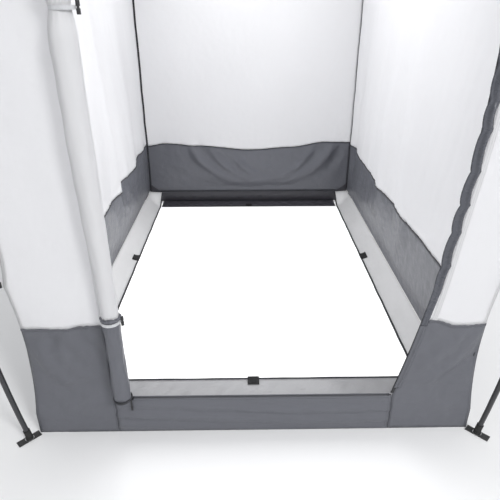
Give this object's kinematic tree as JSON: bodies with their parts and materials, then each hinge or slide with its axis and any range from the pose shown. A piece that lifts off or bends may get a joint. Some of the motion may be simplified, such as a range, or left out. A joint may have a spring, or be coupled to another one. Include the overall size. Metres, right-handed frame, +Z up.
{
  "type": "utility enclosure tent",
  "caption": "Free-standing fabric cabin tent with an outer pole frame, dark mud band, open floor with turned-in ground flaps, and a D-shaped zip door rolled to one side.",
  "frame": {"origin": "centre of the footprint on the ground, under the middle of the pole frame", "axes": "+Z up; -Y is the front wall with the door; +X is to the right for a person who faces the door"},
  "size_m": [1.5596, 2.2896, 2.18],
  "materials": {
    "light_cloth": "matt coated polyester, pale grey",
    "band_cloth": "matt coated polyester, blue-grey",
    "dark_sill_cloth": "coated polyester, near black, wrinkled",
    "flap_cloth": "matt coated polyester, mid grey",
    "side_flap_cloth": "satin coated polyester, pale grey",
    "binding_tape": "folded woven tape, black",
    "hook_tape": "hook and loop tape, black",
    "zip_coil": "moulded coil on woven tape, black",
    "zip_metal": "black enamelled die casting",
    "moulded_black": "moulded nylon, black",
    "tie_elastic": "woven elastic, white",
    "mesh": "fine polyester mesh",
    "pole_steel": "powder-coated steel tube, charcoal",
    "rod_fibreglass": "pultruded glass fibre rod",
    "foot_rubber": "moulded rubber",
    "plate_steel": "zinc plated",
    "webbing": "woven webbing, black"
  },
  "bodies": {
    "root": {"front_left_panel": "light_cloth", "front_left_band": "band_cloth", "front_right_panel": "light_cloth", "front_right_band": "band_cloth", "front_header": "light_cloth", "front_sill": "band_cloth", "left_wall_panel": "light_cloth", "left_wall_band": "band_cloth", "right_wall_panel": "light_cloth", "right_wall_band": "band_cloth", "side_window_meshes": "mesh", "side_window_blinds": "light_cloth", "back_wall_panel": "light_cloth", "back_wall_band": "band_cloth", "back_corner_gussets": "band_cloth", "back_sill": "dark_sill_cloth", "back_vent_mesh": "mesh", "roof_canopy": "light_cloth", "eave_valance": "light_cloth", "corner_bindings": "binding_tape", "front_ground_flap": "flap_cloth", "back_ground_flap": "dark_sill_cloth", "end_flap_bindings": "binding_tape", "end_hook_patches": "hook_tape", "door_zip_sill": "zip_coil", "door_zip_side": "zip_coil", "door_storm_flap": "binding_tape", "leg_front_left": "pole_steel", "leg_front_right": "pole_steel", "leg_back_left": "pole_steel", "leg_back_right": "pole_steel", "leg_ferrules": "pole_steel", "eave_elbows": "moulded_black", "roof_rod_front_left": "rod_fibreglass", "roof_rod_front_right": "rod_fibreglass", "roof_rod_back_left": "rod_fibreglass", "roof_rod_back_right": "rod_fibreglass", "roof_hub": "moulded_black", "pole_clips": "moulded_black", "clip_tabs": "webbing", "foot_caps": "foot_rubber", "foot_plates": "plate_steel", "corner_straps": "webbing"},
    "door_roll": {"door_roll_upper": "light_cloth", "door_roll_lower": "band_cloth", "door_tie_loops": "tie_elastic"},
    "lower_toggle": {"lower_tie_toggle": "moulded_black"},
    "upper_toggle": {"upper_tie_toggle": "moulded_black"},
    "sill_slider": {"sill_zip_slider": "zip_metal"},
    "sill_pull": {"sill_zip_pull": "moulded_black"},
    "side_slider": {"side_zip_slider": "zip_metal"},
    "side_pull": {"side_zip_pull": "moulded_black"},
    "left_flap": {"left_ground_flap": "side_flap_cloth", "left_flap_binding": "binding_tape", "left_hook_patch": "hook_tape"},
    "right_flap": {"right_ground_flap": "side_flap_cloth", "right_flap_binding": "binding_tape", "right_hook_patch": "hook_tape"},
    "vent_hood": {"vent_hood": "light_cloth", "vent_hood_batten": "light_cloth"}
  },
  "joints": [
    {"name": "door_roll_swing", "type": "hinge", "parent": "root", "child": "door_roll", "pos_m": [-0.441, -1.0662, 0.9], "axis": [0, 0, 1], "range_deg": [-85, 0]},
    {"name": "lower_toggle_turn", "type": "hinge", "parent": "door_roll", "child": "lower_toggle", "pos_m": [-0.3748, -1.0952, 0.456], "axis": [1, 0, 0], "range_deg": [-90, 90]},
    {"name": "upper_toggle_turn", "type": "hinge", "parent": "door_roll", "child": "upper_toggle", "pos_m": [-0.3748, -1.0952, 1.25], "axis": [1, 0, 0], "range_deg": [-90, 90]},
    {"name": "sill_zip_slide", "type": "slide", "parent": "root", "child": "sill_slider", "axis": [1, 0, 0], "range_m": [0, 0.78]},
    {"name": "sill_pull_swing", "type": "hinge", "parent": "sill_slider", "child": "sill_pull", "pos_m": [-0.388, -1.0762, 0.146], "axis": [1, 0, 0], "range_deg": [-100, 0]},
    {"name": "side_zip_travel", "type": "hinge", "parent": "root", "child": "side_slider", "pos_m": [-3.56658, -1.072, 1.15], "axis": [0, 1, 0], "range_deg": [-1.1, 17]},
    {"name": "side_pull_swing", "type": "hinge", "parent": "side_slider", "child": "side_pull", "pos_m": [0.54795, -1.0782, 1.42], "axis": [0.9979, 0, 0.0655], "range_deg": [-150, 0]},
    {"name": "left_flap_lift", "type": "hinge", "parent": "root", "child": "left_flap", "pos_m": [-0.6978, 0, 0.078], "axis": [0, -1, 0], "range_deg": [0, 92]},
    {"name": "right_flap_lift", "type": "hinge", "parent": "root", "child": "right_flap", "pos_m": [0.6978, 0, 0.078], "axis": [0, 1, 0], "range_deg": [0, 92]},
    {"name": "vent_hood_swing", "type": "hinge", "parent": "root", "child": "vent_hood", "pos_m": [0, 1.0712, 1.68], "axis": [1, 0, 0], "range_deg": [-19, 0]}
  ]
}
